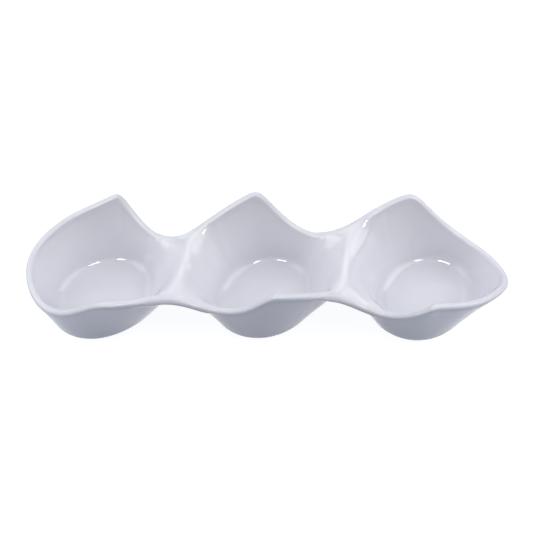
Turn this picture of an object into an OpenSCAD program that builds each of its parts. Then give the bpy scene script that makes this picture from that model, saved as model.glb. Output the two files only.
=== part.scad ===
/* [Layout] */
// Distance between the centres of neighbouring wells
well_pitch = 115; // [108:1:125]
// Depth that the rim's places are shares of, from the long middle line outwards
half_depth = 50; // [48:0.5:54]
// Height that the rim's heights are shares of
rim_height = 65; // [60:0.5:70]

/* [Walls] */
// Thickness of a well's wall and of the rim's rounded lip
wall = 5; // [4:0.1:6]
// Thickness of the lip where it runs along a bridge
bridge_wall = 6.6; // [5:0.1:8]
// Thickness of the floor of a well
floor_thickness = 4.6; // [3.5:0.1:6]

/* [Wells] */
// Mean radius of the flat floor of a well
floor_radius = 28.5; // [26:0.5:30]
// How far the floor is longer than its mean radius along its long axis
floor_oval = 2.8; // [0:0.1:3.2]
// Angle from the dish's length to the long axis of each floor
floor_turn = 42; // [30:1:55]
// Extra floor radius of the two end wells
end_extra = 0.3; // [0:0.1:1]
// Radius of the fillet between floor and wall, at the back and at the front of a well
floor_fillet = 5; // [3:0.5:7]
// How much larger that radius is at the two sides of a well
side_fillet = 7; // [0:0.5:8]
// Steepest slope that a wall may have
steepest = 83; // [78:0.5:84]

/* [Underside] */
// How far the flat underside is wider than the floor above it
base_extra = 0.8; // [0:0.1:2]
// Extra width of the underside of the two end wells
base_end_extra = 0.5; // [0:0.1:1]
// Extra oval of the underside of the two end wells
base_oval = 1.5; // [0:0.1:2]
// How far the underside of an end well is pushed out towards its bridge
base_egg = 3; // [0:0.1:3.5]
// Radius of the fillet between the underside and the outer wall
base_fillet = 9; // [7:0.5:11]

/* [Bridges] */
// Height of a bridge's surface half way between two wells
crest_height = 45.5; // [42:0.5:48]
// How far the middle of a bridge is lifted above the line between its two edges
bridge_crown = 6.5; // [3:0.5:8]
// Half of the length of a bridge
bridge_half = 14; // [12:0.5:15]
// How far the crest lies past the middle of a bridge, towards the middle well
ridge_shift = 3; // [0:0.5:5]
// Slope of an end well's wall under the slanting ridge
end_ridge_slope = 57; // [55:1:64]
// Slope of the middle well's wall under the slanting ridge
middle_ridge_slope = 61; // [58:1:66]
// Slope of the well wall under the soft edge beside the ridge
soft_slope = 57; // [55:1:62]
// Size of the blend from a bridge down into a well
bridge_blend = 26; // [20:1:30]
// Size of the blend under a bridge
under_blend = 12; // [10:0.5:14]
// Size to which both blends shrink away from the bridge
rim_blend = 12; // [8:0.5:14]

/* [Foot rings] */
// Height of the standing rings
foot_height = 3; // [2:0.25:4]
// Width of a ring, seen from below
foot_width = 4; // [3:0.25:5]
// Distance from a ring to the narrowest edge of the flat underside
foot_inset = 0.5; // [0.2:0.1:2]
// Chamfer on both lower edges of a ring
foot_chamfer = 0.8; // [0.4:0.1:1.2]

/* [Hidden] */

glaze_colour = [0.92, 0.92, 0.95];
foot_colour = [0.88, 0.85, 0.80];

// The rim's middle line along the back, from the left end to the right end. The three shares are
// of half the well pitch, of the half depth and of the rim height. The front is the same line
// after half a turn about the middle of the dish.
rim_shares = [
    [-2.85, 0.10, 0.53], [-2.70, 0.45, 0.65], [-2.40, 0.74, 0.74], [-2.09, 0.87, 0.82],
    [-1.89, 0.94, 0.88], [-1.80, 0.97, 0.88], [-1.70, 0.92, 0.75], [-1.50, 0.77, 0.54],
    [-1.27, 0.64, 0.48], [-1.03, 0.57, 0.55], [-0.77, 0.61, 0.71], [-0.49, 0.75, 0.85],
    [-0.23, 0.86, 0.95], [-0.10, 0.89, 0.98], [0.03, 0.86, 0.88], [0.23, 0.80, 0.68],
    [0.50, 0.69, 0.54], [0.78, 0.62, 0.56], [1.08, 0.64, 0.70], [1.39, 0.81, 0.82],
    [1.66, 0.92, 0.89], [1.81, 0.94, 0.90], [1.96, 0.88, 0.81], [2.21, 0.78, 0.62],
    [2.49, 0.63, 0.48], [2.73, 0.35, 0.46]
];

// Where, as shares of half the pitch from a bridge's middle, the bridge's sheet starts and stops
sheet_shares = [0.38, 0.70];
// Where, as a share of half the pitch, the lip has turned from the bridge's way to the well's way
lip_turn_share = 0.45;
// How far the sheet of a bridge lies from its middle line, as a share of the lip's thickness
sheet_share = 0.55;
// How far past its two edges the sheet keeps its slope, as a share of its width
past_edge_share = 0.3;
// How far the larger fillets start further in, as a share of how much larger they are
fillet_pull_share = 0.67;

half_pitch = well_pitch / 2;
cut_x = half_pitch - bridge_half;
sheet_lift = rim_height;
floor_level = foot_height + floor_thickness;
foot_outer = floor_radius + base_extra - floor_oval - base_oval - base_egg - foot_inset;

// Angles, seen from a well's centre and measured from the line of wells, of the bridge's part of
// the wall: its start, the ridge, the crest of the bridge, the soft edge and its end
sector_start = -38;
ridge_angle = -22;
soft_angle = 22;
sector_end = 50;
// Step past both ends of that part for the slopes that it joins on to
sector_margin = 10;
// Angle between the entries of a table of slopes
table_step = 12;

// Short distance for measuring a surface's slope, and a short step along the rim's points
probe = wall / 100;
tilt_step = 0.25;
turn_step = 0.05;
// How closely the bend to a lip's edge keeps to the lip
bend_power = 4;
// Pieces along a well's rim, across a bridge, along a bridge, down a wall, round a fillet and
// round a lip
rim_pieces = 56;
middle_rim_pieces = 26;
cross_pieces = 26;
bridge_pieces = 20;
wall_pieces = 6;
fillet_pieces = 3;
lip_pieces = 4;
rim_samples_count = 312;
ring_pieces = 96;

LEFT = 0;
MIDDLE = 1;
well_x = [-well_pitch, 0];

// General helpers
function clamp(x, low, high) = min(max(x, low), high);
function mix(a, b, t) = a + (b - a) * t;
function unit(v) = v / norm(v);
function flat(v) = [v.x, v.y];
function half_turn(p) = [-p.x, -p.y, p.z];
function join(lists) = [for (list = lists) for (item = list) item];
function smooth_step(a, b, x) =
    let (t = clamp((x - a) / (b - a), 0, 1))
    t * t * t * (t * (6 * t - 15) + 10);

// The smaller of two heights, rounded where they cross
function smooth_min(a, b, size) =
    let (h = max(size - abs(a - b), 0) / size)
    min(a, b) - pow(h, 3) * size / 6;

// A closed smooth curve: control values spaced evenly, read at u counted in values
function spline(controls, u) =
    let (
        n = len(controls),
        i = floor(u),
        f = u - i,
        g = 1 - f,
        k = (i % n + n) % n
    )
    (pow(g, 3) * controls[(k + n - 1) % n]
        + (3 * pow(f, 3) - 6 * f * f + 4) * controls[k]
        + (3 * pow(g, 3) - 6 * g * g + 4) * controls[(k + 1) % n]
        + pow(f, 3) * controls[(k + 2) % n]) / 6;

// Control values whose curve passes close by the given ones
function sharpen(values) =
    let (n = len(values))
    [for (i = [0:n - 1])
        values[i] - (values[(i + n - 1) % n] - 2 * values[i] + values[(i + 1) % n]) / 6];

// A smooth curve through knots of [place, value], read at a place between the first and the last
function knot_slope(knots, i) =
    let (a = knots[max(i - 1, 0)], b = knots[min(i + 1, len(knots) - 1)])
    (b[1] - a[1]) / (b[0] - a[0]);
function through(knots, place) =
    let (
        before = [for (i = [0:len(knots) - 2]) if (knots[i][0] <= place) i],
        i = before[len(before) - 1],
        a = knots[i],
        b = knots[i + 1],
        h = b[0] - a[0],
        t = (place - a[0]) / h
    )
    mix(a[1], b[1], t * t * (3 - 2 * t))
        + h * t * (1 - t) * ((1 - t) * knot_slope(knots, i) - t * knot_slope(knots, i + 1));

// The rim's middle line
back_points = [for (s = rim_shares) [s.x * half_pitch, s.y * half_depth, s.z * rim_height]];
back_count = len(back_points);
rim_controls = sharpen(concat(back_points, [for (p = back_points) half_turn(p)]));
rim_count = len(rim_controls);
function rim_point(u) = spline(rim_controls, u);
function rim_outward(u) =
    let (d = rim_point(u + turn_step) - rim_point(u - turn_step))
    unit([-d.y, d.x]);

rim_samples = [for (k = [0:rim_samples_count - 1])
    let (u = k * rim_count / rim_samples_count)
    [rim_point(u).x, rim_point(u).y, rim_point(u).z, u]];
back_samples = [for (s = rim_samples) if (s[3] <= back_count) s];
back_y = [for (s = back_samples) [s[0], s[1]]];
back_z = [for (s = back_samples) [s[0], s[2]]];
back_u = [for (s = back_samples) [s[0], s[3]]];

// The rim's two lines as functions of the place along the dish
function edge_y(x, back) = back ? lookup(x, back_y) : -lookup(-x, back_y);
function edge_z(x, back) = lookup(back ? x : -x, back_z);
function edge_u(x, back) = back ? lookup(x, back_u) : lookup(-x, back_u) + back_count;
function edge_point(x, back) = [x, edge_y(x, back), edge_z(x, back)];

// Slopes of the walls, for each well and for its inner and its outer side, in a table of angles
// round the well. A wall is a straight slope from the rim to the fillet above the floor.
function fillet_growth(angle) = side_fillet * pow(cos(angle), 2);
function fillet_at(angle, inner) = inner ? floor_fillet + fillet_growth(angle) : base_fillet;

function foot_of_wall(well, angle, inner) =
    let (
        end = well == LEFT ? 1 : 0,
        oval = floor_oval + (inner ? 0 : end * base_oval),
        mean = floor_radius + end * end_extra,
        under = base_extra + end * (base_end_extra + base_egg * cos(angle))
    )
    mean + oval * cos(2 * (angle - floor_turn))
        + (inner ? -fillet_pull_share * fillet_growth(angle) : under);

function tangent_slope(reach, rise, fillet) =
    atan2(rise - fillet, reach) - acos(fillet / norm([reach, rise - fillet])) + 90;

function slope_to(well, angle, reach, rise, inner, thickness) =
    let (
        half = thickness / 2,
        fillet = fillet_at(angle, true),
        in_foot = foot_of_wall(well, angle, true),
        out_foot = foot_of_wall(well, angle, false),
        middle = tangent_slope(reach - in_foot, rise - floor_level + half, fillet + half),
        side = half * sin(middle),
        up = half * cos(middle)
    )
    inner
        ? tangent_slope(reach - side - in_foot, rise + up - floor_level, fillet)
        : tangent_slope(reach + side - out_foot, rise - up - foot_height, base_fillet);

// Rim points seen from each well: angle from the side away from the bridges, distance and height
rim_seen = [for (well = [LEFT, MIDDLE])
    [for (s = rim_samples)
        let (v = [s.x - well_x[well], s.y], w = well == LEFT ? -v : v)
        if (norm(v) < half_pitch) [atan2(w.y, w.x), norm(v), s.z]]];
reach_seen = [for (seen = rim_seen) [for (s = seen) [s[0], s[1]]]];
rise_seen = [for (seen = rim_seen) [for (s = seen) [s[0], s[2]]]];

function slope_to_rim(well, angle, inner) =
    let (
        turned = well == LEFT ? angle - 180 : angle,
        own = atan2(sin(turned), cos(turned))
    )
    slope_to(well, angle, lookup(own, reach_seen[well]), lookup(own, rise_seen[well]), inner, wall);

function slope_at(well, angle, inner) =
    let (
        towards = cos(angle) > 0 ? 0 : 180,
        from_line = atan2(sin(angle - towards), cos(angle - towards)),
        bridged = well == MIDDLE || towards == 0,
        crest_reach = half_pitch + (well == LEFT ? ridge_shift : -ridge_shift),
        ridge_slope = well == LEFT ? end_ridge_slope : middle_ridge_slope
    )
    !bridged || from_line <= sector_start || from_line >= sector_end
        ? slope_to_rim(well, angle, inner)
        : through([
            for (a = [sector_start - sector_margin, sector_start])
                [a, slope_to_rim(well, towards + a, inner)],
            [ridge_angle, ridge_slope],
            [0, slope_to(well, towards, crest_reach, crest_height, inner, bridge_wall)],
            [soft_angle, soft_slope],
            for (a = [sector_end, sector_end + sector_margin])
                [a, slope_to_rim(well, towards + a, inner)]
        ], from_line);

slopes = [for (well = [LEFT, MIDDLE])
    [for (inner = [true, false])
        [for (angle = [0:table_step:360 - table_step])
            min(slope_at(well, angle, inner), steepest)]]];

// Height of a well's surface above a point of the plan
function well_level(well, x, y, inner) =
    let (
        v = [x - well_x[well], y],
        angle = atan2(v.y, v.x),
        out = norm(v) - foot_of_wall(well, angle, inner),
        slope = spline(slopes[well][inner ? 0 : 1], angle / table_step),
        fillet = fillet_at(angle, inner),
        level = inner ? floor_level : foot_height,
        fillet_end = fillet * sin(slope)
    )
    out <= 0 ? level
        : out <= fillet_end ? level + fillet - sqrt(fillet * fillet - out * out)
        : level + fillet * (1 - cos(slope)) + tan(slope) * (out - fillet_end);

// Share of the bridge's way in the lip, and the lip's thickness
function bridge_part(x) =
    1 - smooth_step(bridge_half, lip_turn_share * half_pitch, abs(abs(x) - half_pitch));
function lip_thickness(x) = mix(wall, bridge_wall, bridge_part(x));

// Height of a bridge's sheet, which rises from both edges to a crown between them
function sheet_level(x, y, inner) =
    let (
        front = edge_y(x, false),
        back = edge_y(x, true),
        v = clamp((y - front) / (back - front), -past_edge_share, 1 + past_edge_share),
        far = abs(abs(x) - half_pitch),
        lift = smooth_step(sheet_shares[0] * half_pitch, sheet_shares[1] * half_pitch, far)
    )
    mix(edge_z(x, false), edge_z(x, true), v) + bridge_crown * 4 * v * (1 - v)
        + (inner ? 1 : -1) * sheet_share * lip_thickness(x) + sheet_lift * lift;

// Size of the blend between a bridge and its wells, which shrinks towards the rims of the wells
function blend_at(x, inner) =
    mix(inner ? bridge_blend : under_blend, rim_blend,
        smooth_step(bridge_half / 2, sheet_shares[0] * half_pitch, abs(abs(x) - half_pitch)));

// Height of the dish's upper side (inner) or underside above a point of the plan
function level_at(x, y, inner) =
    x > 0 ? level_at(-x, -y, inner)
    : x < -half_pitch * (1 + sheet_shares[1]) ? well_level(LEFT, x, y, inner)
    : x > -half_pitch * (1 - sheet_shares[1]) ? well_level(MIDDLE, x, y, inner)
    : let (
        blend = blend_at(x, inner),
        end = smooth_min(sheet_level(x, y, inner), well_level(LEFT, x, y, inner), blend)
    )
    smooth_min(end, well_level(MIDDLE, x, y, inner), blend);

// Direction out of the dish at a place u of the rim. Along a bridge it is square to the dish's
// length, so that the lip meets the cut at the well.
function plan_outward(u) =
    let (way = rim_outward(u))
    unit([way.x * (1 - bridge_part(rim_point(u).x)), way.y]);

// Angle at which the upper side rises towards the rim, just inside the rim
function rise_outward(u) =
    let (
        way = plan_outward(u),
        place = flat(rim_point(u)) - way * wall / 2,
        outer = place + way * probe,
        inner = place - way * probe
    )
    atan2(level_at(outer.x, outer.y, true) - level_at(inner.x, inner.y, true), 2 * probe);

// The same angle smoothed along the rim, so that the lip turns gently from wall to bridge
function lip_tilt(u) =
    let (turns = [for (k = [-2:2]) (3 - abs(k)) * rise_outward(u + k * tilt_step)])
    (turns * [1, 1, 1, 1, 1]) / 9;

// The rounded lip round a centre on the rim, from its upper edge over the outside to its lower edge
function lip(centre, u) =
    let (
        way = plan_outward(u),
        tilt = lip_tilt(u),
        half = lip_thickness(centre.x) / 2,
        n = [-sin(tilt) * way.x, -sin(tilt) * way.y, cos(tilt)],
        side = [cos(tilt) * way.x, cos(tilt) * way.y, sin(tilt)]
    )
    [for (i = [0:lip_pieces])
        let (turn = 180 * i / lip_pieces)
        centre + half * (cos(turn) * n + sin(turn) * side)];

function rim_lip(u) = lip(rim_point(u), u);
function edge_lip(x, back) = lip(edge_point(x, back), edge_u(x, back));

// Points across a bridge at one place along the dish, from the back lip to the front lip, on the
// upper side or on the underside. Each row follows its surface and bends to the edges of the lips.
function cross_row(x, lips, inner) =
    let (
        a = lips[0][inner ? 0 : lip_pieces],
        b = lips[1][inner ? 0 : lip_pieces],
        miss_a = a.z - level_at(x, a.y, inner),
        miss_b = b.z - level_at(x, b.y, inner)
    )
    [for (i = [0:cross_pieces])
        let (
            t = i / cross_pieces,
            y = mix(a.y, b.y, t),
            bend = [pow(1 - t, bend_power), pow(t, bend_power)]
        )
        i == 0 ? a : i == cross_pieces ? b : [x, y, level_at(x, y, inner) + [miss_a, miss_b] * bend]];

// Edge stations of a well: its rim clockwise, seen from above, and then the cut from back to front
function rim_run(u_start, u_end, pieces, x) =
    let (
        lips = [edge_lip(x, true), edge_lip(x, false)],
        upper = cross_row(x, lips, true),
        lower = cross_row(x, lips, false)
    )
    concat(
        [for (i = [0:pieces - 1]) rim_lip(mix(u_start, u_end, i / pieces))],
        [lips[0]],
        [for (i = [1:cross_pieces - 1]) [upper[i], lower[i]]]
    );

function left_run() =
    let (
        x = -well_pitch + cut_x,
        run = rim_run(edge_u(x, false), rim_count + edge_u(x, true), rim_pieces, x)
    )
    [for (i = [0:len(run) - 1]) i == 0 ? edge_lip(x, false) : run[i]];

function middle_run() =
    let (run = rim_run(edge_u(-cut_x, true), edge_u(cut_x, true), middle_rim_pieces, cut_x))
    [for (i = [0:len(run) - 1]) i == 0 ? edge_lip(-cut_x, true) : run[i]];

// Points from the floor out to an edge station, on the upper side or on the underside. The upper
// side is stretched and the underside is bent so that each ends on the station's own edge.
function spoke(well, end, inner) =
    let (
        v = [end.x - well_x[well], end.y],
        angle = atan2(v.y, v.x),
        way = unit(v),
        start = foot_of_wall(well, angle, inner),
        slope = spline(slopes[well][inner ? 0 : 1], angle / table_step),
        fillet = fillet_at(angle, inner),
        top = start + fillet * sin(slope),
        level = inner ? floor_level : foot_height,
        surface = level_at(end.x, end.y, inner),
        stretch = (end.z - level) / (surface - level),
        reaches = concat(
            [for (i = [0:fillet_pieces]) start + fillet * sin(slope * i / fillet_pieces)],
            [for (i = [1:wall_pieces - 1]) mix(top, norm(v), i / wall_pieces)]
        )
    )
    concat(
        [for (r = reaches)
            let (
                x = well_x[well] + way.x * r,
                y = way.y * r,
                z = level_at(x, y, inner),
                share = clamp((r - top) / (norm(v) - top), 0, 1)
            )
            [x, y, inner ? mix(level, z, stretch) : z + (end.z - surface) * pow(share, bend_power)]],
        [end]
    );

// A whole well from its runs of edge stations: one run for an end well, and two, each half a turn
// from the other, for the middle well
module well_body(well, run, rim_pieces_in_run, turns) {
    period = len(run);
    n = period * turns;
    rings = fillet_pieces + wall_pieces + 1;
    mids = lip_pieces - 1;
    upper_half = [for (s = run) spoke(well, s[0], true)];
    lower_half = [for (s = run) spoke(well, s[len(s) - 1], false)];
    mid_half = [for (s = run) if (len(s) > 2) [for (i = [1:mids]) s[i]]];
    upper = join([join(upper_half), if (turns > 1) [for (p = join(upper_half)) half_turn(p)]]);
    lower = join([join(lower_half), if (turns > 1) [for (p = join(lower_half)) half_turn(p)]]);
    lips = join([join(mid_half), if (turns > 1) [for (p = join(mid_half)) half_turn(p)]]);
    lower_start = 1 + len(upper);
    lip_start = lower_start + 1 + len(lower);
    function up(k, ring) = 1 + (k % n) * rings + ring;
    function low(k, ring) = lower_start + 1 + (k % n) * rings + ring;
    function over(k, i) =
        let (j = k % n, place = floor(j / period) * (rim_pieces_in_run + 1) + j % period)
        i == 0 ? up(k, rings - 1)
        : i == lip_pieces ? low(k, rings - 1)
        : lip_start + place * mids + i - 1;
    polyhedron(
        points = concat(
            [[well_x[well], 0, floor_level]], upper, [[well_x[well], 0, foot_height]], lower, lips),
        faces = join([
            for (k = [0:n - 1]) concat(
                [[0, up(k, 0), up(k + 1, 0)], [lower_start, low(k + 1, 0), low(k, 0)]],
                join([for (i = [0:rings - 2]) concat(
                    two_triangles(up(k, i), up(k, i + 1), up(k + 1, i + 1), up(k + 1, i)),
                    two_triangles(low(k, i), low(k + 1, i), low(k + 1, i + 1), low(k, i + 1)))])
            ),
            for (k = [0:n - 1]) if (k % period < rim_pieces_in_run)
                join([for (i = [0:lip_pieces - 1])
                    two_triangles(over(k + 1, i), over(k, i), over(k, i + 1), over(k + 1, i + 1))]),
            for (turn = [0:turns - 1])
                let (first = turn * period + rim_pieces_in_run, last = (turn + 1) * period)
                concat(
                    [[for (i = [0:lip_pieces]) over(first, i)]],
                    [[for (i = [lip_pieces:-1:0]) over(last, i)]],
                    join([for (k = [first:last - 1])
                        two_triangles(over(k + 1, 0), over(k, 0), over(k, lip_pieces),
                            over(k + 1, lip_pieces))])
                )
        ])
    );
}

function two_triangles(a, b, c, d) = [[a, b, c], [a, c, d]];

// The left bridge, between the cuts of the left and of the middle well
module bridge_body() {
    rows = [for (i = [0:bridge_pieces])
        let (
            x = mix(-well_pitch + cut_x, -cut_x, i / bridge_pieces),
            lips = [edge_lip(x, true), edge_lip(x, false)],
            upper = cross_row(x, lips, true),
            lower = cross_row(x, lips, false)
        )
        concat(
            [for (k = [lip_pieces:-1:0]) lips[0][k]],
            [for (k = [1:cross_pieces - 1]) upper[k]],
            lips[1],
            [for (k = [cross_pieces - 1:-1:1]) lower[k]]
        )];
    m = len(rows[0]);
    front_lip = lip_pieces + cross_pieces;
    start_faces = concat(
        [[for (j = [0:lip_pieces]) j], [for (j = [0:lip_pieces]) front_lip + j]],
        join([for (k = [0:cross_pieces - 1])
            two_triangles(lip_pieces + k, lip_pieces + k + 1, m - k - 1, (m - k) % m)])
    );
    polyhedron(
        points = join(rows),
        faces = concat(
            start_faces,
            [for (face = start_faces)
                [for (j = [len(face) - 1:-1:0]) bridge_pieces * m + face[j]]],
            join([for (i = [0:bridge_pieces - 1]) for (j = [0:m - 1])
                let (a = i * m + j, b = i * m + (j + 1) % m)
                two_triangles(a + m, b + m, b, a)])
        )
    );
}

module foot_ring(x) {
    inside = foot_outer - foot_width;
    translate([x, 0, 0])
    rotate_extrude($fn = ring_pieces)
    polygon([
        [inside, foot_height],
        [inside, foot_chamfer],
        [inside + foot_chamfer, 0],
        [foot_outer - foot_chamfer, 0],
        [foot_outer, foot_chamfer],
        [foot_outer, foot_height]
    ]);
}

module left_bowl() {
    color(glaze_colour) well_body(LEFT, left_run(), rim_pieces, 1);
}

module middle_bowl() {
    color(glaze_colour) well_body(MIDDLE, middle_run(), middle_rim_pieces, 2);
}

module right_bowl() {
    color(glaze_colour) rotate([0, 0, 180]) well_body(LEFT, left_run(), rim_pieces, 1);
}

module left_bridge() {
    color(glaze_colour) bridge_body();
}

module right_bridge() {
    color(glaze_colour) rotate([0, 0, 180]) bridge_body();
}

module left_foot_ring() {
    color(foot_colour) foot_ring(-well_pitch);
}

module middle_foot_ring() {
    color(foot_colour) foot_ring(0);
}

module right_foot_ring() {
    color(foot_colour) foot_ring(well_pitch);
}

left_bowl();
middle_bowl();
right_bowl();
left_bridge();
right_bridge();
left_foot_ring();
middle_foot_ring();
right_foot_ring();
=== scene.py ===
import math

import bmesh
import bpy
import numpy as np
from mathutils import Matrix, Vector


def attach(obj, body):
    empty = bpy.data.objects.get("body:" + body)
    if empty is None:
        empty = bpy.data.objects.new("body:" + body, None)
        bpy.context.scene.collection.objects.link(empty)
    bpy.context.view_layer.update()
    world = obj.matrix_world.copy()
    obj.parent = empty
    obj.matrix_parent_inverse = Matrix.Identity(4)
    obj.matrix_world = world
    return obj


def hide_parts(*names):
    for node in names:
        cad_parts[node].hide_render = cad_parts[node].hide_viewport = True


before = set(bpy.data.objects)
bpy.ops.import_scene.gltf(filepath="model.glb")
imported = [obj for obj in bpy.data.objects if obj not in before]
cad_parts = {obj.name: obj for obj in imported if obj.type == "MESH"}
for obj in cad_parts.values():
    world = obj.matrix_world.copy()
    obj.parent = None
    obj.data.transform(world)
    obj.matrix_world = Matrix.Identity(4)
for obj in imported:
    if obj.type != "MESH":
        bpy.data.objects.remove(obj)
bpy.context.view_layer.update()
MM = 0.001


# The camera looks down on the dish from the front, a little over half a metre away, so that the
# floors of all the wells show. Its lens and its shifts put the dish where the photograph has it.
view_height = math.radians(52)
view_distance = 0.520
view_level = 21.6 * MM
photo_side = 533
focal_pixels = 738.0
middle_column = 265.5
middle_row = 283.0
sensor_width = 36
camera_data = bpy.data.cameras.new("camera")
camera_data.sensor_width = sensor_width
camera_data.lens = focal_pixels / photo_side * sensor_width
camera_data.shift_x = (photo_side / 2 - middle_column) / photo_side
camera_data.shift_y = (middle_row - photo_side / 2) / photo_side
camera_data.clip_start = 10 * MM
camera = bpy.data.objects.new("camera", camera_data)
camera.location = (0, -view_distance * math.cos(view_height),
                   view_level + view_distance * math.sin(view_height))
camera.rotation_euler = (math.pi / 2 - view_height, 0, 0)
bpy.context.collection.objects.link(camera)
bpy.context.scene.camera = camera
bpy.context.scene.view_settings.view_transform = "Standard"


# The studio: a white sheet under the dish, a wide soft box above it, lower ones at both sides, in
# front and behind, and a dim bluish room. Two windows in front show in the gloss alone, as the
# short highlights above the wells' floors.
floor_reach = 4.0
sheet_shade = (0.20, 0.23, 0.28, 1)
sheet_glow = 0.90
sheet_back = (0.05, 0.09, 0.20, 1)
room_colour = (0.75, 0.85, 1.0, 1)
room_strength = 0.07
white = (1, 1, 1)
warm = (1, 0.94, 0.91)
# Each row is a name, a place, a size, a power in watts and a colour.
boxes = [
    ("box_above", (0.10, 0.25, 1.15), (2.2, 1.6), 11.7, white),
    ("box_left", (-0.95, 0.0, 0.60), (1.0, 0.9), 7.0, white),
    ("box_right", (0.95, 0.0, 0.60), (1.0, 0.9), 6.4, white),
    ("box_front", (0.0, -1.0, 0.75), (1.8, 0.9), 6.4, warm),
    ("box_back", (0.0, 1.0, 0.60), (1.8, 0.8), 4.0, white)]
windows = [
    ("window_left", (-0.84, -1.40, 1.67), (0.80, 0.55), 34.0, white),
    ("window_right", (1.16, -1.40, 1.67), (0.80, 0.55), 34.0, white)]


def add_math(tree, operation, *terms):
    """A node for a sum or product of terms, each a socket or a number."""
    node = tree.nodes.new("ShaderNodeMath")
    node.operation = operation
    for socket, term in zip(node.inputs, terms):
        if isinstance(term, bpy.types.NodeSocket):
            tree.links.new(term, socket)
        else:
            socket.default_value = term
    return node.outputs["Value"]


def paper_material():
    """Paper that is white to the camera and in the gloss, but sends little light back up."""
    paper = bpy.data.materials.new("paper")
    paper.use_nodes = True
    tree = paper.node_tree
    node, link = tree.nodes.new, tree.links.new
    tree.nodes.remove(tree.nodes["Principled BSDF"])
    lit = node("ShaderNodeBsdfDiffuse")
    lit.inputs["Color"].default_value = sheet_shade
    glow = node("ShaderNodeEmission")
    glow.inputs["Strength"].default_value = sheet_glow
    shown = node("ShaderNodeAddShader")
    link(lit.outputs["BSDF"], shown.inputs[0])
    link(glow.outputs["Emission"], shown.inputs[1])
    back_up = node("ShaderNodeBsdfDiffuse")
    back_up.inputs["Color"].default_value = sheet_back
    rays = node("ShaderNodeLightPath").outputs
    seen = add_math(tree, "MAXIMUM", rays["Is Camera Ray"], rays["Is Glossy Ray"])
    seen = add_math(tree, "MAXIMUM", seen, rays["Is Transmission Ray"])
    choose = node("ShaderNodeMixShader")
    link(seen, choose.inputs["Fac"])
    link(back_up.outputs["BSDF"], choose.inputs[1])
    link(shown.outputs["Shader"], choose.inputs[2])
    link(choose.outputs["Shader"], tree.nodes["Material Output"].inputs["Surface"])
    return paper


def soft_box(name, place, size, power, colour):
    """A rectangular lamp that looks at the dish."""
    data = bpy.data.lights.new(name, "AREA")
    data.shape = "RECTANGLE"
    data.size, data.size_y = size
    data.energy = power
    data.color = colour
    light = bpy.data.objects.new(name, data)
    bpy.context.collection.objects.link(light)
    light.location = place
    aim = Vector((0, 0, view_level)) - Vector(place)
    light.rotation_euler = aim.to_track_quat("-Z", "Y").to_euler()
    return light


floor_mesh = bpy.data.meshes.new("floor")
floor_mesh.from_pydata(
    [(-floor_reach, -floor_reach, 0), (floor_reach, -floor_reach, 0),
     (floor_reach, floor_reach, 0), (-floor_reach, floor_reach, 0)], [], [(0, 1, 2, 3)])
floor_mesh.materials.append(paper_material())
floor = bpy.data.objects.new("floor", floor_mesh)
bpy.context.collection.objects.link(floor)

world = bpy.data.worlds.new("studio")
world.use_nodes = True
world.node_tree.nodes["Background"].inputs["Color"].default_value = room_colour
world.node_tree.nodes["Background"].inputs["Strength"].default_value = room_strength
bpy.context.scene.world = world

for box in boxes:
    soft_box(*box)
for window in windows:
    soft_box(*window).visible_diffuse = False


# The three wells: pressed porcelain, about five millimetres thick, under one clear glossy glaze.
# Each is a flat oval floor, a fillet and straight leaning walls up to a waved rim with a rounded
# lip. The rim turns like a pinwheel, so the front is the back after half a turn. Sizes are in mm.
well_pitch = 115.0
half_depth = 50.0
rim_height = 65.0
wall = 5.0
floor_thickness = 4.6
foot_height = 3.0
half_pitch = well_pitch / 2
floor_level = foot_height + floor_thickness
well_x = [-well_pitch, 0.0]     # well 0 is the left one and well 1 the middle one

# The inner floor's edge is an oval that is turned a little. The outer base is wider, and under the
# end wells it is an egg with its broad end towards the middle.
floor_radius = 28.5
floor_oval = 2.8
floor_turn = math.radians(42)
end_extra = 0.3         # how much wider floor and base are in the end wells
floor_fillet = 5.0
side_fillet = 7.0       # what the fillet gains towards the neighbouring wells
fillet_pull = 0.67      # the share of that gain that comes off the floor
base_extra = 0.8
base_end_extra = 0.5    # what the base alone gains under the end wells
base_oval = 1.5
base_egg = 3.0
base_fillet = 9.0

# The bridge as the wells meet it: a crowned sheet between the rims, a ridge on one side of the
# middle of each bridge, and a softer slope on the other.
bridge_half = 14.0      # half its length along the dish
bridge_wall = 6.6
bridge_crown = 6.5
crest_height = 45.5
ridge_shift = 3.0       # how far the crest lies from the middle of its bridge
ridge_slopes = np.radians([57, 61])
soft_slope = math.radians(57)
steepest = math.radians(83)
bridge_blend = 26.0     # how widely walls and sheet are rounded together on top of a bridge,
under_blend = 12.0      # under it
rim_blend = 12.0        # and away from it
cut_x = half_pitch - bridge_half
cut_at = [-well_pitch + cut_x, cut_x]

# The back half of the rim, from the left end to the right: shares of half a pitch along the dish,
# of the half depth across it and of the rim's height.
rim_shares = np.array([
    [-2.85, 0.10, 0.53], [-2.70, 0.45, 0.65], [-2.40, 0.74, 0.74], [-2.09, 0.87, 0.82],
    [-1.89, 0.94, 0.88], [-1.80, 0.97, 0.88], [-1.70, 0.92, 0.75], [-1.50, 0.77, 0.54],
    [-1.27, 0.64, 0.48], [-1.03, 0.57, 0.55], [-0.77, 0.61, 0.71], [-0.49, 0.75, 0.85],
    [-0.23, 0.86, 0.95], [-0.10, 0.89, 0.98], [0.03, 0.86, 0.88], [0.23, 0.80, 0.68],
    [0.50, 0.69, 0.54], [0.78, 0.62, 0.56], [1.08, 0.64, 0.70], [1.39, 0.81, 0.82],
    [1.66, 0.92, 0.89], [1.81, 0.94, 0.90], [1.96, 0.88, 0.81], [2.21, 0.78, 0.62],
    [2.49, 0.63, 0.48], [2.73, 0.35, 0.46]])
rim_samples = 2400
probe = 0.05        # half the step over which a slope is felt
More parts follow.
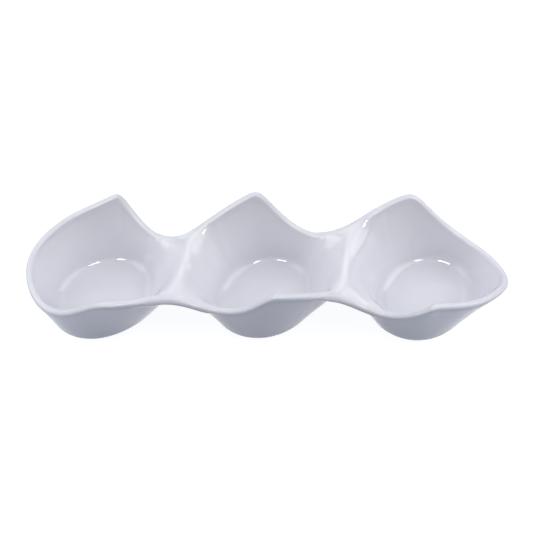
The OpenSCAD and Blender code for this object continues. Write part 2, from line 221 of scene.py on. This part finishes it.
turned = np.array([-1, -1, 1])      # half a turn about the vertical


def unit(v):
    return v / np.linalg.norm(v, axis=-1, keepdims=True)


def smooth_step(a, b, x):
    """From 0 at a to 1 at b, with no jump in slope or bend."""
    t = np.clip((x - a) / (b - a), 0, 1)
    return t * t * t * (t * (6 * t - 15) + 10)


def smooth_min(a, b, size):
    """The lower of two heights, rounded where they differ by less than size."""
    h = np.maximum(size - np.abs(a - b), 0) / size
    return np.minimum(a, b) - h ** 3 * size / 6


def spline(controls, u):
    """The closed cubic B-spline of its controls, at places counted in controls."""
    u = np.asarray(u, float)
    i = np.floor(u).astype(int)
    f = u - i
    g = 1 - f
    if controls.ndim > 1:
        f, g = f[..., None], g[..., None]
    n = len(controls)
    return (g ** 3 * controls[(i - 1) % n] + (3 * f ** 3 - 6 * f * f + 4) * controls[i % n]
            + (3 * g ** 3 - 6 * g * g + 4) * controls[(i + 1) % n]
            + f ** 3 * controls[(i + 2) % n]) / 6


def sharpen(points):
    """Controls that draw the spline back to the points themselves, which it would cut short."""
    return points - (np.roll(points, 1, 0) - 2 * points + np.roll(points, -1, 0)) / 6


back_points = rim_shares * [half_pitch, half_depth, rim_height]
back_count = len(back_points)
rim_controls = sharpen(np.vstack([back_points, back_points * turned]))
rim_count = len(rim_controls)


def rim_point(u):
    """A point on the middle line of the rim. The place u counts the rim's controls."""
    return spline(rim_controls, u)


def rim_outward(u):
    """Straight out of the rim, seen from above."""
    d = rim_point(u + probe) - rim_point(u - probe)
    return unit(np.stack([-d[..., 1], d[..., 0]], -1))


samples_u = np.linspace(0, rim_count, rim_samples + 1)[:-1]
samples = rim_point(samples_u)
on_back = samples_u <= back_count
back_x, back_y, back_z = samples[on_back].T
back_u = samples_u[on_back]


def edge_y(x, back):
    return np.interp(x, back_x, back_y) if back else -np.interp(-x, back_x, back_y)


def edge_z(x, back):
    return np.interp(x if back else -x, back_x, back_z)


def edge_u(x, back):
    return np.interp(x, back_x, back_u) if back else np.interp(-x, back_x, back_u) + back_count


def edge_point(x, back):
    """The rim's point at one place along the dish, on the back or on the front."""
    return np.array([x, edge_y(x, back), edge_z(x, back)])


def fillet_at(angle, inner):
    """The fillet's radius between floor and wall, which grows towards the neighbouring wells."""
    return floor_fillet + side_fillet * np.cos(angle) ** 2 if inner else base_fillet + 0 * angle


def foot_of_wall(w, angle, inner):
    """How far from a well's middle the flat of its floor or base ends."""
    end = 1 if w == 0 else 0
    oval = floor_oval + (0 if inner else end * base_oval)
    extra = (-fillet_pull * side_fillet * np.cos(angle) ** 2 if inner
             else base_extra + end * (base_end_extra + base_egg * np.cos(angle)))
    return floor_radius + end * end_extra + oval * np.cos(2 * (angle - floor_turn)) + extra


def tangent_slope(reach, rise, fillet):
    """The slope of a straight wall that leaves its fillet smoothly and ends at reach and rise."""
    return (np.arctan2(rise - fillet, reach)
            - np.arccos(fillet / np.hypot(reach, rise - fillet)) + np.pi / 2)


def slope_to(w, angle, reach, rise, inner, thickness):
    """The slope of a wall's inner or outer face whose middle line ends at reach and rise."""
    half = thickness / 2
    inner_foot, outer_foot = foot_of_wall(w, angle, True), foot_of_wall(w, angle, False)
    fillet = fillet_at(angle, True)
    lean = tangent_slope(reach - inner_foot, rise - floor_level + half, fillet + half)
    side, up = half * np.sin(lean), half * np.cos(lean)
    if inner:
        return tangent_slope(reach - side - inner_foot, rise + up - floor_level, fillet)
    return tangent_slope(reach + side - outer_foot, rise - up - foot_height, base_fillet)


# The rim as each well sees it: its angle round the well, its distance and its height.
rim_round = []
for w in (0, 1):
    away = (samples[:, :2] - [well_x[w], 0]) * (-1 if w == 0 else 1)
    near = np.hypot(*away.T) < half_pitch
    angles = np.degrees(np.arctan2(away[near, 1], away[near, 0]))
    order = np.argsort(angles)
    rim_round.append((angles[order], np.hypot(*away[near].T)[order], samples[near, 2][order]))

# Angles in degrees either side of the line to a bridge: where its ridge and its soft side lie,
# and where the walls go back to leaning at the rim.
ridge_angle = -22
soft_angle = 22
sector_start = -38
sector_end = 50
sector_margin = 10
table_step = 12     # degrees between the values of a slope table


def wrap(degrees):
    return (degrees + 180) % 360 - 180


def slope_to_rim(w, degrees, inner):
    """The slope of a wall that ends at the rim."""
    angles, reaches, heights = rim_round[w]
    own = wrap(degrees - 180 if w == 0 else degrees)
    return slope_to(w, np.radians(degrees), np.interp(own, angles, reaches),
                    np.interp(own, angles, heights), inner, wall)


def through(knots, q):
    """The value at q of a smooth curve through a few knots."""
    x, y = np.array(knots, float).T
    last = len(x) - 1
    before = [max(i - 1, 0) for i in range(len(x))]
    after = [min(i + 1, last) for i in range(len(x))]
    m = (y[after] - y[before]) / (x[after] - x[before])
    j = min(max(np.searchsorted(x, q, "right") - 1, 0), last - 1)
    h = x[j + 1] - x[j]
    t = (q - x[j]) / h
    return (y[j] + (y[j + 1] - y[j]) * t * t * (3 - 2 * t)
            + h * t * (1 - t) * ((1 - t) * m[j] - t * m[j + 1]))


def slope_at(w, degrees, inner):
    """A wall's slope at an angle round its well, which towards a bridge follows the ridge."""
    towards = 0 if np.cos(np.radians(degrees)) > 0 else 180
    q = wrap(degrees - towards)
    outer_end = w == 0 and towards == 180
    if outer_end or q <= sector_start or q >= sector_end:
        return slope_to_rim(w, degrees, inner)
    low, high = ([(a, slope_to_rim(w, towards + a, inner)) for a in pair]
                 for pair in ((sector_start - sector_margin, sector_start),
                              (sector_end, sector_end + sector_margin)))
    reach = half_pitch + (ridge_shift if w == 0 else -ridge_shift)
    crest = slope_to(w, np.radians(towards), reach, crest_height, inner, bridge_wall)
    middle = [(ridge_angle, ridge_slopes[w]), (0, crest), (soft_angle, soft_slope)]
    return through(low + middle + high, q)


slopes = {(w, inner): np.minimum([slope_at(w, d, inner) for d in range(0, 360, table_step)],
                                 steepest)
          for w in (0, 1) for inner in (True, False)}

# Shares of half a pitch from the middle of a bridge: where its sheet starts to rise out of the
# way, where it is gone, and where the lip has its full turn. Then the share of the thickness
# between the rim's middle line and the sheet, and how far past its edges the sheet is drawn.
sheet_start = 0.38
sheet_stop = 0.70
lip_turn_share = 0.45
sheet_share = 0.55
past_edge = 0.3
out_of_reach = 1000.0


def well_level(w, x, y, inner):
    """The height of a well's inner or outer face, as if it went up without end."""
    dx = x - well_x[w]
    angle = np.arctan2(y, dx)
    out = np.hypot(dx, y) - foot_of_wall(w, angle, inner)
    slope = spline(slopes[w, inner], np.degrees(angle) / table_step)
    fillet, level = fillet_at(angle, inner), floor_level if inner else foot_height
    end = fillet * np.sin(slope)
    arc = level + fillet - np.sqrt(fillet ** 2 - np.clip(out, 0, end) ** 2)
    return arc + np.tan(slope) * np.maximum(out - end, 0)


def from_bridge(x):
    """The distance along the dish from the middle of the nearest bridge."""
    return np.abs(np.abs(x) - half_pitch)


def bridge_part(x):
    """1 on a bridge, and 0 away from it."""
    return 1 - smooth_step(bridge_half, lip_turn_share * half_pitch, from_bridge(x))


def lip_thickness(x):
    return wall + (bridge_wall - wall) * bridge_part(x)


def sheet_level(x, y, inner):
    """The height of a bridge's upper or lower face, crowned between the back and front rims."""
    front, back = edge_y(x, False), edge_y(x, True)
    v = np.clip((y - front) / (back - front), -past_edge, 1 + past_edge)
    return (edge_z(x, False) + (edge_z(x, True) - edge_z(x, False)) * v
            + bridge_crown * 4 * v * (1 - v)
            + (1 if inner else -1) * sheet_share * lip_thickness(x)
            + rim_height * smooth_step(sheet_start * half_pitch, sheet_stop * half_pitch,
                                       from_bridge(x)))


def blend_at(x, inner):
    """How widely walls and sheet are rounded into each other."""
    wide = bridge_blend if inner else under_blend
    return wide + (rim_blend - wide) * smooth_step(bridge_half / 2, sheet_start * half_pitch,
                                                   from_bridge(x))


def level_at(x, y, inner):
    """The height of the dish's upper or lower face. The right half is the left one, turned."""
    x, y = np.broadcast_arrays(np.asarray(x, float), np.asarray(y, float))
    side = np.where(x > 0, -1, 1)
    x, y = x * side, y * side
    near = np.clip(x, -half_pitch * (1 + sheet_stop), -half_pitch * (1 - sheet_stop))
    sheet = np.where(near == x, sheet_level(near, y, inner), out_of_reach)
    left, middle = well_level(0, x, y, inner), well_level(1, x, y, inner)
    blend = blend_at(x, inner)
    return smooth_min(smooth_min(sheet, left, blend), middle, blend)


lip_arcs = 14
lip_steps = (-0.5, -0.25, 0, 0.25, 0.5)     # in steps of the rim's controls
lip_weights = np.array([1, 2, 3, 2, 1]) / 9


def rise_outward(place, out):
    """How steeply the inner face rises outwards just inside the rim."""
    inside = place - out * wall / 2
    a, b = inside + out * probe, inside - out * probe
    return np.arctan((level_at(a[..., 0], a[..., 1], True)
                      - level_at(b[..., 0], b[..., 1], True)) / (2 * probe))


def plan_out(u):
    """Where a lip points to, seen from above: out of the rim, or straight across at a bridge."""
    out = rim_outward(u)
    along = 1 - bridge_part(rim_point(u)[..., 0])
    return unit(out * np.stack([along, np.ones_like(out[..., 0])], -1))


def lip(centres, u):
    """The half round of the lip, from the inner face over to the outer one."""
    out = plan_out(u)
    lean = 0
    for step, weight in zip(lip_steps, lip_weights):
        near = u + step
        lean = lean + weight * rise_outward(rim_point(near)[..., :2], plan_out(near))
    half = lip_thickness(centres[..., 0])[..., None] / 2
    flat = np.concatenate([out, np.zeros_like(out[..., :1])], -1)
    up = -np.sin(lean)[..., None] * flat
    up[..., 2] = np.cos(lean)
    side = np.cos(lean)[..., None] * flat
    side[..., 2] = np.sin(lean)
    turn = np.linspace(0, np.pi, lip_arcs + 1)[:, None, None]
    return centres + half * (np.cos(turn) * up + np.sin(turn) * side)


def edge_lips(x):
    """The back and the front lip at one place along the dish."""
    u = np.array([edge_u(x, True), edge_u(x, False)])
    arcs = lip(np.array([edge_point(x, True), edge_point(x, False)]), u)
    return arcs[:, 0], arcs[:, 1]


cross_pieces = 90
bend_power = 4      # how quickly a face that is bent to meet a lip falls back to its own level
normal_step = 4 * probe


def cross_row(x, lips, inner):
    """Points across the dish at one place along it, from the back lip to the front lip."""
    a, b = (lip_points[0 if inner else -1] for lip_points in lips)
    t = np.linspace(0, 1, cross_pieces + 1)
    y = a[1] + (b[1] - a[1]) * t
    miss_a = a[2] - level_at(x, a[1], inner)
    miss_b = b[2] - level_at(x, b[1], inner)
    z = level_at(x, y, inner) + miss_a * (1 - t) ** bend_power + miss_b * t ** bend_power
    row = np.stack([np.full_like(t, x), y, z], -1)
    row[0], row[-1] = a, b
    return row


def normals_of(before, here, after, outward):
    """Normals along a row of points, from the rows just before and after it."""
    n = unit(np.cross(np.gradient(here, axis=0), after - before))
    return n * np.where((n * outward).sum(-1, keepdims=True) < 0, -1, 1)


def lip_normals(x):
    """The back and the front lip's normals at a cut, so that shading runs on over the joint."""
    before, here, after = (edge_lips(x + d) for d in (-normal_step, 0, normal_step))
    return [normals_of(before[k], here[k], after[k], here[k] - (here[k][0] + here[k][-1]) / 2)
            for k in (0, 1)]


def row_normals(x, inner):
    """The surface's normals along a cut, which end in those of the two lips."""
    rows = [cross_row(x + d, edge_lips(x + d), inner) for d in (-normal_step, 0, normal_step)]
    n = normals_of(*rows, [0, 0, 1 if inner else -1])
    for end, lip_n in zip((0, -1), lip_normals(x)):
        n[end] = unit(n[end] + lip_n[0 if inner else -1])
    return n


rim_pieces = [300, 130]
wall_rings = 34
fillet_rings = 8
floor_rings = 5
lip_fade = 0.1      # the share of a wall over which the lips' painted shade and dull roughness fade out


def spokes(w, ends, inner):
    """Points from a well's floor out to each end point, as rings of points."""
    away = ends[:, :2] - [well_x[w], 0]
    reach = np.hypot(*away.T)
    angle = np.arctan2(away[:, 1], away[:, 0])
    start = foot_of_wall(w, angle, inner)
    slope = spline(slopes[w, inner], np.degrees(angle) / table_step)
    fillet, level = fillet_at(angle, inner), floor_level if inner else foot_height
    top = start + fillet * np.sin(slope)
    surface = level_at(ends[:, 0], ends[:, 1], inner)
    radii = [start * k / floor_rings for k in range(1, floor_rings)]
    radii += [start + fillet * np.sin(slope * k / fillet_rings) for k in range(fillet_rings + 1)]
    radii += [top + (reach - top) * k / wall_rings for k in range(1, wall_rings)]
    rings = []
    for radius in radii:
        x, y = well_x[w] + np.cos(angle) * radius, np.sin(angle) * radius
        z = level_at(x, y, inner)
        if inner:
            z = level + (z - level) * (ends[:, 2] - level) / (surface - level)
        else:
            share = np.clip((radius - top) / (reach - top), 0, 1)
            z = z + (ends[:, 2] - surface) * share ** bend_power
        rings.append(np.stack([x, y, z], -1))
    return np.array(rings + [ends])


def lip_run(w):
    """The left well's lip, from the front cut round its end, or the middle well's back lip."""
    x = cut_at[w]
    start = (x, False) if w == 0 else (-x, True)
    u = np.linspace(edge_u(*start), edge_u(x, True) + (rim_count if w == 0 else 0),
                    rim_pieces[w] + 1)
    centres = rim_point(u)
    centres[0], centres[-1] = edge_point(*start), edge_point(x, True)
    return lip(centres, u)


def grid_faces(rows, columns, start=0):
    """Quads between rows of points that follow each other in one list and close on themselves."""
    row = np.arange(rows - 1)[:, None] * columns
    a = (row + np.arange(columns)[None]).ravel()
    b = (row + (np.arange(columns)[None] + 1) % columns).ravel()
    return (np.stack([a, b, b + columns, a + columns], -1) + start).tolist()


def lip_numbers(rings, n, period, pieces):
    """A function for the number of a lip's point: k along the lip, and i over it."""
    inner_edge, outer_edge, between = (rings - 1) * n, (2 * rings - 1) * n, 2 * rings * n
    run = n // period * (pieces + 1)

    def number(k, i):
        turn, j = divmod(k % n, period)
        if i == 0:
            return inner_edge + k % n
        if i == lip_arcs:
            return outer_edge + k % n
        return between + (i - 1) * run + turn * (pieces + 1) + j

    return number


def well_faces(rings, n, period, pieces, number, hub):
    """The faces of a well: walls and floors, then the lip, then the cuts.

    The middle of the floor is point number hub, and the middle of the base is the next."""
    outer = rings * n
    faces = grid_faces(rings, n) + grid_faces(rings, n, outer)
    faces += [[hub, (k + 1) % n, k] for k in range(n)]
    faces += [[hub + 1, outer + k, outer + (k + 1) % n] for k in range(n)]
    for k in range(n):
        if k % period < pieces:
            faces += [[number(k, i), number(k + 1, i), number(k + 1, i + 1), number(k, i + 1)]
                      for i in range(lip_arcs)]
    for first in range(pieces, n, period):
        last = first + period - pieces
        faces.append([number(k, 0) for k in range(first, last + 1)]
                     + [number(last, i) for i in range(1, lip_arcs)]
                     + [number(k, lip_arcs) for k in range(last, first - 1, -1)]
                     + [number(first, i) for i in range(lip_arcs - 1, 0, -1)])
    return faces


def well_cut_normals(w, n, period, pieces, number):
    """The normals of the points on a well's cuts, by the points' numbers."""
    x = cut_at[w]
    start = lip_normals(x)[1] if w == 0 else lip_normals(-x)[0]
    end = lip_normals(x)[0]
    upper, lower = (row_normals(x, inner) for inner in (True, False))
    normals = {}
    for turn, first in enumerate(range(pieces, n, period)):
        flip = turned if turn else 1
        for i in range(1, lip_arcs):
            normals[number(first - pieces, i)] = start[i] * flip
            normals[number(first, i)] = end[i] * flip
        for k in range(cross_pieces + 1):
            normals[number(first + k, 0)] = upper[k] * flip
            normals[number(first + k, lip_arcs)] = lower[k] * flip
    return normals


def well_parts(w):
    """A well as points, faces, lip shares and the normals that its cuts need."""
    x, pieces = cut_at[w], rim_pieces[w]
    halves = [1] if w == 0 else [1, turned]
    lips = lip_run(w)
    sides = []
    for inner in (True, False):
        cut = cross_row(x, edge_lips(x), inner)[1:-1]
        run = spokes(w, np.vstack([lips[0 if inner else -1], cut]), inner)
        sides.append(np.concatenate([run * half for half in halves], 1))
    over_lip = np.concatenate([lips[1:-1] * half for half in halves], 1)
    hubs = [[well_x[w], 0, floor_level], [well_x[w], 0, foot_height]]
    points = np.vstack([part.reshape(-1, 3) for part in (*sides, over_lip)] + [hubs])

    rings, n = sides[0].shape[:2]
    period = n // len(halves)
    number = lip_numbers(rings, n, period, pieces)
    fade = smooth_step(1 - lip_fade, 1, np.arange(rings) / (rings - 1))
    below_lip = (np.arange(n) % period <= pieces).astype(float)
    side_share = (fade[:, None] * below_lip).ravel()
    share = np.concatenate([side_share, side_share, np.ones(over_lip[..., 0].size), [0, 0]])
    faces = well_faces(rings, n, period, pieces, number, len(points) - len(hubs))
    return points, faces, share, well_cut_normals(w, n, period, pieces, number)


# The glaze's colours, even and thick, and painted shade on the lips and low down on the outside.
glaze_even = (0.660, 0.665, 0.718, 1)
glaze_thick = (0.625, 0.630, 0.690, 1)
# Painted shade: the lips get a darker colour, to tone down the light they catch.
lip_painted_shade = (0.598, 0.608, 0.666, 1)
# Painted shade: a greyer blue, low on the outside where the surface faces down.
low_painted_shade = (0.480, 0.515, 0.600, 1)
low_shade_top = 34 * MM
low_shade_facing = -0.3
glaze_index = 1.5
glaze_roughness = (0.03, 0.05)
lip_roughness = 0.32
glaze_wave = 0.12 * MM
glaze_wave_strength = 0.20
thickness_scale = 22.0
roughness_scale = 60.0
wave_scale = 75.0
mottle_spread = (0.3, 0.7)
mottle_detail = 2.0


def add_range(tree, source, reach, result=(0, 1)):
    """A value taken from one range to another. The ends are numbers or sockets."""
    node = tree.nodes.new("ShaderNodeMapRange")
    tree.links.new(source, node.inputs["Value"])
    for name, end in zip(("From Min", "From Max", "To Min", "To Max"), (*reach, *result)):
        if isinstance(end, bpy.types.NodeSocket):
            tree.links.new(end, node.inputs[name])
        else:
            node.inputs[name].default_value = end
    return node.outputs["Result"]


def mottle_group():
    """A soft cloudy pattern between two values: how a glaze or a fired body varies over a dish."""
    group = bpy.data.node_groups.new("mottle", "ShaderNodeTree")
    for name, kind in (("Place", "NodeSocketVector"), ("Scale", "NodeSocketFloat"),
                       ("Low", "NodeSocketFloat"), ("High", "NodeSocketFloat")):
        group.interface.new_socket(name, in_out="INPUT", socket_type=kind)
    group.interface.new_socket("Value", in_out="OUTPUT", socket_type="NodeSocketFloat")
    into, out = group.nodes.new("NodeGroupInput"), group.nodes.new("NodeGroupOutput")
    noise = group.nodes.new("ShaderNodeTexNoise")
    noise.inputs["Detail"].default_value = mottle_detail
    group.links.new(into.outputs["Place"], noise.inputs["Vector"])
    group.links.new(into.outputs["Scale"], noise.inputs["Scale"])
    value = add_range(group, noise.outputs["Fac"], mottle_spread,
                      (into.outputs["Low"], into.outputs["High"]))
    group.links.new(value, out.inputs["Value"])
    return group


mottle = mottle_group()


def add_mottle(tree, source, scale, low, high):
    node = tree.nodes.new("ShaderNodeGroup")
    node.node_tree = mottle
    tree.links.new(source, node.inputs["Place"])
    for name, value in (("Scale", scale), ("Low", low), ("High", high)):
        node.inputs[name].default_value = value
    return node.outputs["Value"]


def add_mix(tree, share, first, second):
    """A colour between two others, each a colour or a socket."""
    mix = tree.nodes.new("ShaderNodeMix")
    mix.data_type = "RGBA"
    tree.links.new(share, mix.inputs["Factor"])
    for name, value in (("A", first), ("B", second)):
        socket = next(s for s in mix.inputs if s.name == name and s.type == "RGBA")
        if isinstance(value, tuple):
            socket.default_value = value
        else:
            tree.links.new(value, socket)
    return next(s for s in mix.outputs if s.type == "RGBA")


def add_bump(tree, shader, height, strength, distance):
    bump = tree.nodes.new("ShaderNodeBump")
    bump.inputs["Strength"].default_value = strength
    bump.inputs["Distance"].default_value = distance
    tree.links.new(height, bump.inputs["Height"])
    tree.links.new(bump.outputs["Normal"], shader.inputs["Normal"])


def add_height(tree, vector):
    """The part of a place or of a direction that points up."""
    split = tree.nodes.new("ShaderNodeSeparateXYZ")
    tree.links.new(vector, split.inputs["Vector"])
    return split.outputs["Z"]


def new_material(name):
    material = bpy.data.materials.new(name)
    material.use_nodes = True
    tree = material.node_tree
    place = tree.nodes.new("ShaderNodeTexCoord").outputs["Object"]
    return material, tree, tree.nodes["Principled BSDF"], place


def glaze_material():
    """A clear glossy glaze over white: duller on the lips, with painted shade there and low
    outside.
    """
    material, tree, shader, place = new_material("glaze")
    lip_share = tree.nodes.new("ShaderNodeAttribute")
    lip_share.attribute_name = "lip"
    direction = tree.nodes.new("ShaderNodeNewGeometry").outputs["Normal"]
    # Painted shade, low on the outside where the surface faces down.
    outside = add_range(tree, add_height(tree, direction), (0, low_shade_facing))
    below_shade_top = add_range(tree, add_height(tree, place), (low_shade_top, 0))
    low_shade_share = add_math(tree, "MULTIPLY", outside, below_shade_top)
    thickness = add_mottle(tree, place, thickness_scale, 0, 1)
    colour = add_mix(tree, thickness, glaze_even, glaze_thick)
    colour = add_mix(tree, low_shade_share, colour, low_painted_shade)
    # Painted shade on the lips.
    colour = add_mix(tree, lip_share.outputs["Fac"], colour, lip_painted_shade)
    tree.links.new(colour, shader.inputs["Base Color"])
    roughness = add_math(tree, "MULTIPLY_ADD", lip_share.outputs["Fac"], lip_roughness,
                         add_mottle(tree, place, roughness_scale, *glaze_roughness))
    tree.links.new(roughness, shader.inputs["Roughness"])
    wave = add_mottle(tree, place, wave_scale, 0, 1)
    add_bump(tree, shader, wave, glaze_wave_strength, glaze_wave)
    shader.inputs["IOR"].default_value = glaze_index
    return material


glaze = glaze_material()


def shell(name, node, parts, half_turned):
    """One glazed piece of the dish, on the root body, in place of the node of its name."""
    points, faces, share, set_normals = parts
    flip = turned if half_turned else 1
    mesh = bpy.data.meshes.new(name)
    mesh.from_pydata((points * flip * MM).tolist(), [], faces)
    work = bmesh.new()
    work.from_mesh(mesh)
    bmesh.ops.recalc_face_normals(work, faces=work.faces)
    work.to_mesh(mesh)
    work.free()
    mesh.attributes.new("lip", "FLOAT", "POINT").data.foreach_set("value", share)
    mesh.shade_smooth()
    normals = np.zeros(len(points) * 3)
    mesh.vertex_normals.foreach_get("vector", normals)
    normals = normals.reshape(-1, 3)
    for k, normal in set_normals.items():
        normals[k] = normal * flip
    mesh.normals_split_custom_set_from_vertices(normals.tolist())
    mesh.materials.append(glaze)
    piece = bpy.data.objects.new(name, mesh)
    bpy.context.collection.objects.link(piece)
    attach(piece, "root")
    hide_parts(node)


end_well, middle_well = well_parts(0), well_parts(1)
shell("left_bowl_shell", "left_bowl", end_well, False)
shell("middle_bowl_shell", "middle_bowl", middle_well, False)
shell("right_bowl_shell", "right_bowl", end_well, True)


# The two bridges: the sheet that joins two wells, drawn between their rims. A rounded ridge
# slants across each, where the steep wall of one well meets the sheet, and the other side falls
# softly into its well. The right bridge is the left one after half a turn.
bridge_pieces = 36
bridge_ends = (-well_pitch + cut_x, -cut_x)


def bridge_parts():
    """A bridge as points, faces, lip shares and the normals that its cuts need."""
    loops = []
    for x in np.linspace(*bridge_ends, bridge_pieces + 1):
        back, front = edge_lips(x)
        upper, lower = (cross_row(x, (back, front), inner) for inner in (True, False))
        loops.append(np.vstack([back[::-1], upper[1:-1], front, lower[-2:0:-1]]))
    points = np.array(loops)
    rows, n = points.shape[:2]
    caps = [list(range(n)), list(range((rows - 1) * n, rows * n))]
    share = np.zeros(n)
    share[:lip_arcs + 1] = 1
    share[lip_arcs + cross_pieces:2 * lip_arcs + cross_pieces + 1] = 1
    set_normals = {}
    for row, x in zip((0, rows - 1), bridge_ends):
        upper, lower = (row_normals(x, inner) for inner in (True, False))
        back, front = lip_normals(x)
        around = np.vstack([lower[:1], back[-2:0:-1], upper, front[1:-1], lower[:0:-1]])
        set_normals.update({row * n + k: normal for k, normal in enumerate(around)})
    return points.reshape(-1, 3), grid_faces(rows, n) + caps, np.tile(share, rows), set_normals


bridge = bridge_parts()
shell("left_bridge_shell", "left_bridge", bridge, False)
shell("right_bridge_shell", "right_bridge", bridge, True)


# The three standing rings: turned on the underside of the wells and ground flat after firing.
# Their sides are glazed down to a wavering line, and the bare body below it is matt and warm.
foot_width = 4.0
foot_inset = 0.5
foot_chamfer = 0.8
foot_outer = floor_radius + base_extra - floor_oval - base_oval - base_egg - foot_inset
circle_points = 240
corner_points = 5
glaze_line = 1.3 * MM
line_waver = 0.5 * MM
waver_scale = 120.0
bare_body = (0.60, 0.55, 0.47, 1)
bare_speck = (0.44, 0.38, 0.31, 1)
speck_scale = 900.0
speck_share = 0.7
bare_roughness = 0.85
glazed_roughness = 0.08
grain_depth = 0.05 * MM
grain_strength = 0.4


def foot_material():
    """The bare speckled body, and glaze above a wavering line."""
    material, tree, shader, place = new_material("foot")
    specks = add_mottle(tree, place, speck_scale, 0, speck_share)
    bare = add_mix(tree, specks, bare_body, bare_speck)
    waver = add_mottle(tree, place, waver_scale, -line_waver, line_waver)
    height = add_math(tree, "ADD", add_height(tree, place), waver)
    glazed = add_range(tree, height, (glaze_line - line_waver / 4, glaze_line + line_waver / 4))
    tree.links.new(add_mix(tree, glazed, bare, glaze_even), shader.inputs["Base Color"])
    roughness = add_range(tree, glazed, (0, 1), (bare_roughness, glazed_roughness))
    tree.links.new(roughness, shader.inputs["Roughness"])
    add_bump(tree, shader, specks, grain_strength, grain_depth)
    return material


def ring_group():
    """A ring of rectangular section with rounded corners, standing on the surface."""
    group = bpy.data.node_groups.new("standing_ring", "GeometryNodeTree")
    for name in ("Place X", "Radius", "Width", "Height", "Corner"):
        group.interface.new_socket(name, in_out="INPUT", socket_type="NodeSocketFloat")
    group.interface.new_socket("Material", in_out="INPUT", socket_type="NodeSocketMaterial")
    group.interface.new_socket("Geometry", in_out="OUTPUT", socket_type="NodeSocketGeometry")
    node, link = group.nodes.new, group.links.new
    into, out = node("NodeGroupInput"), node("NodeGroupOutput")
    path = node("GeometryNodeCurvePrimitiveCircle")
    path.inputs["Resolution"].default_value = circle_points
    link(into.outputs["Radius"], path.inputs["Radius"])
    section = node("GeometryNodeCurvePrimitiveQuadrilateral")
    link(into.outputs["Width"], section.inputs["Width"])
    link(into.outputs["Height"], section.inputs["Height"])
    corners = node("GeometryNodeFilletCurve")
    corners.mode = "POLY"
    corners.inputs["Count"].default_value = corner_points
    link(section.outputs["Curve"], corners.inputs["Curve"])
    link(into.outputs["Corner"], corners.inputs["Radius"])
    sweep = node("GeometryNodeCurveToMesh")
    link(path.outputs["Curve"], sweep.inputs["Curve"])
    link(corners.outputs["Curve"], sweep.inputs["Profile Curve"])
    place = node("ShaderNodeCombineXYZ")
    link(into.outputs["Place X"], place.inputs["X"])
    link(add_math(group, "DIVIDE", into.outputs["Height"], 2), place.inputs["Z"])
    move = node("GeometryNodeTransform")
    link(sweep.outputs["Mesh"], move.inputs["Geometry"])
    link(place.outputs["Vector"], move.inputs["Translation"])
    paint = node("GeometryNodeSetMaterial")
    link(move.outputs["Geometry"], paint.inputs["Geometry"])
    link(into.outputs["Material"], paint.inputs["Material"])
    link(paint.outputs["Geometry"], out.inputs["Geometry"])
    return group


foot = foot_material()
ring_form = ring_group()


def standing_ring(name, node, x):
    """One standing ring under the well at x, in place of its node."""
    piece = bpy.data.objects.new(name, bpy.data.meshes.new(name))
    bpy.context.collection.objects.link(piece)
    modifier = piece.modifiers.new("ring", "NODES")
    modifier.node_group = ring_form
    keys = {s.name: s.identifier for s in ring_form.interface.items_tree if s.in_out == "INPUT"}
    sizes = {"Place X": x, "Radius": foot_outer - foot_width / 2, "Width": foot_width,
             "Height": foot_height, "Corner": foot_chamfer}
    for size, value in sizes.items():
        modifier[keys[size]] = value * MM
    modifier[keys["Material"]] = foot
    shown = piece.evaluated_get(bpy.context.evaluated_depsgraph_get())
    piece.data = bpy.data.meshes.new_from_object(shown)
    piece.modifiers.clear()
    piece.data.shade_smooth()
    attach(piece, "root")
    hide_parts(node)


standing_ring("left_ring", "left_foot_ring", -well_pitch)
standing_ring("middle_ring", "middle_foot_ring", 0)
standing_ring("right_ring", "right_foot_ring", well_pitch)
